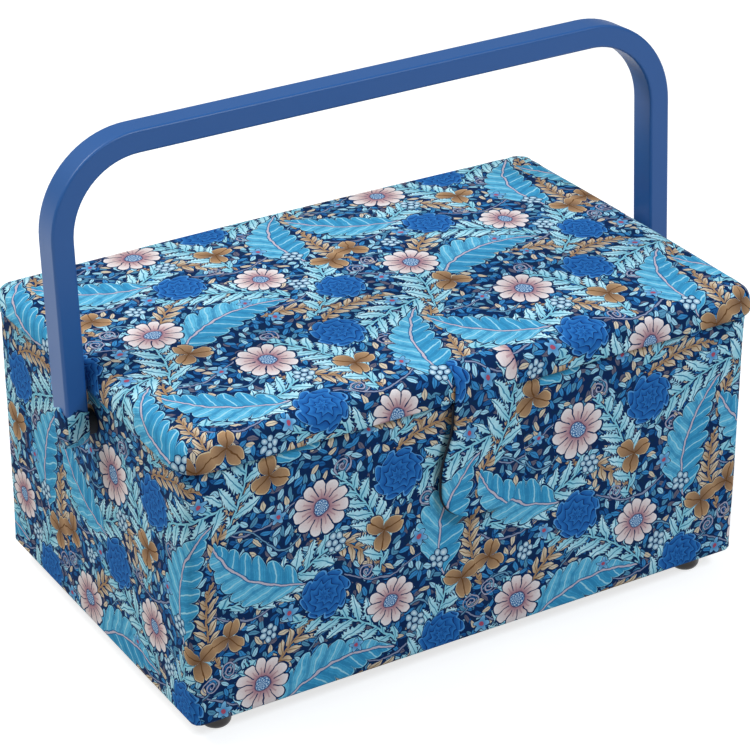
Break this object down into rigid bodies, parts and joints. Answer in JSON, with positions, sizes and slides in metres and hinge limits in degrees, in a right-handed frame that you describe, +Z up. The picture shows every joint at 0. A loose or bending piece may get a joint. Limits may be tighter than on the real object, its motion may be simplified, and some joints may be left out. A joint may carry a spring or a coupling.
{
  "type": "sewing box",
  "caption": "Fabric-covered sewing box with a padded hinged lid, swinging carrying handle, closure tab and lift-out tray.",
  "frame": {"origin": "middle of the box on the surface it stands on, between the four feet", "axes": "+Z up, -Y towards the front with the closure tab, +X to the right seen from the front"},
  "size_m": [0.3328, 0.206, 0.2614],
  "materials": {
    "printed_cotton": "dense floral print on navy cotton, matt woven",
    "plain_lining": "plain navy cotton lining",
    "base_cloth": "black non-woven cloth",
    "padding": "white foam",
    "elastic": "ruched band over elastic",
    "handle_plastic": "satin steel-blue moulding",
    "foot_plastic": "dark brown moulding",
    "nylon": "black nylon",
    "tray_plastic": "pale moulded plastic",
    "fibreboard": "bare fibreboard",
    "stiffener_board": "grey board",
    "nickel": "nickel-plated steel"
  },
  "bodies": {
    "box": {"base_board": "fibreboard", "base_cover": "base_cloth", "front_wall": "fibreboard", "back_wall": "fibreboard", "left_wall": "fibreboard", "right_wall": "fibreboard", "body_cover": "printed_cotton", "body_lining": "plain_lining", "tray_ledges": "fibreboard", "feet": "foot_plastic", "foot_screws": "nickel", "hinge_body_leaves": "nickel", "hinge_pins": "nickel", "body_hinge_screws": "nickel", "pivot_bolts": "nickel", "pivot_spacers": "nylon", "pivot_washers": "nickel", "pivot_nuts": "nickel", "snap_socket": "nickel"},
    "lid": {"lid_board": "fibreboard", "lid_pad": "padding", "lid_cover": "printed_cotton", "lid_lining": "plain_lining", "hinge_lid_leaves": "nickel", "lid_hinge_screws": "nickel", "tab_band": "printed_cotton", "pin_cushion": "printed_cotton", "lid_pocket": "plain_lining", "pocket_elastic": "elastic"},
    "tab": {"tab_fabric": "printed_cotton", "tab_stiffener": "stiffener_board", "snap_stud": "nickel"},
    "handle": {"handle_bar": "handle_plastic", "handle_end_cover_left": "printed_cotton", "handle_end_cover_right": "printed_cotton"},
    "tray": {"tray": "tray_plastic", "tray_long_divider": "tray_plastic", "tray_front_dividers": "tray_plastic", "tray_back_dividers": "tray_plastic"}
  },
  "joints": [
    {"name": "lid_hinge", "type": "hinge", "parent": "box", "child": "lid", "pos_m": [0, 0.1016, 0.14235], "axis": [-1, 0, 0], "range_deg": [0, 33]},
    {"name": "handle_pivot", "type": "hinge", "parent": "box", "child": "handle", "pos_m": [0, -0.0044, 0.126], "axis": [1, 0, 0], "range_deg": [-102, 121]},
    {"name": "tab_hinge", "type": "hinge", "parent": "lid", "child": "tab", "pos_m": [0, -0.101, 0.1411], "axis": [-1, 0, 0], "range_deg": [0, 85]},
    {"name": "tray_lift", "type": "slide", "parent": "box", "child": "tray", "axis": [0, 0, 1], "range_m": [0, 0.01]}
  ]
}
